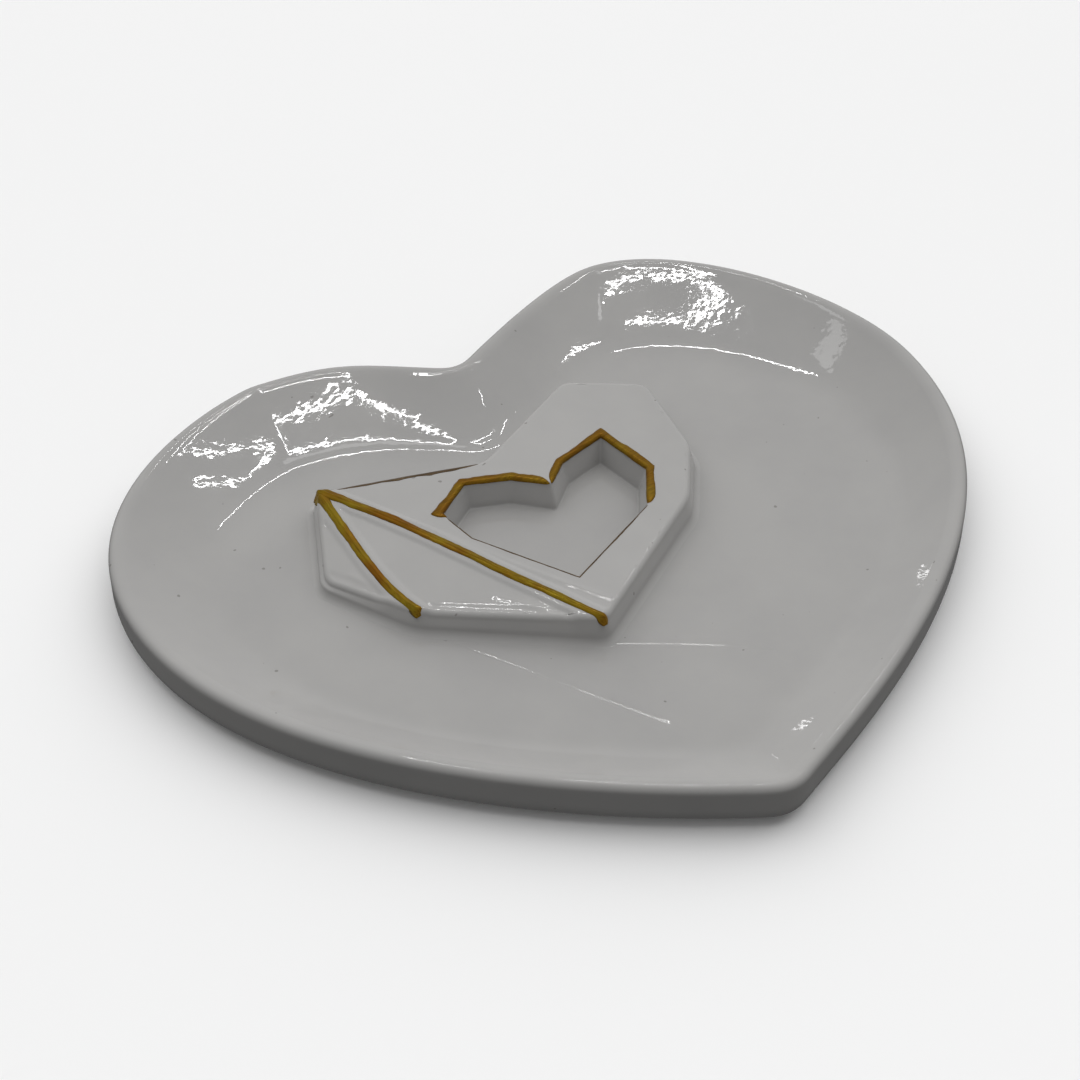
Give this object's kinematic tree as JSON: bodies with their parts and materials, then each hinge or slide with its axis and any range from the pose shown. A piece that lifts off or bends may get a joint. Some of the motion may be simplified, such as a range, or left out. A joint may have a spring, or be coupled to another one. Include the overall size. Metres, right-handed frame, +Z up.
{
  "type": "trinket dish",
  "caption": "Heart-shaped glazed ceramic trinket dish, with a faceted heart tablet raised from its floor, a heart window through the tablet and brushed gold lines.",
  "frame": {"origin": "middle of the dish's box, on the surface that the dish stands on", "axes": "+X to the right lobe, across the heart; +Y from the heart's tip to its cleft; +Z up"},
  "size_m": [0.13, 0.112, 0.008],
  "materials": {
    "dish_glaze": "glossy clear glaze over pale grey-white clay",
    "tablet_glaze": "glossy clear glaze over pale grey-white clay",
    "gold_lustre": "brushed-on raised gold, satin, with brush ridges"
  },
  "bodies": {
    "root": {"dish_body": "dish_glaze", "faceted_heart_tablet": "tablet_glaze", "long_gold_stroke": "gold_lustre", "short_gold_stroke": "gold_lustre", "edge_gold_stroke": "gold_lustre", "window_gold_left": "gold_lustre", "window_gold_right": "gold_lustre", "window_gold_point": "gold_lustre"}
  },
  "joints": []
}
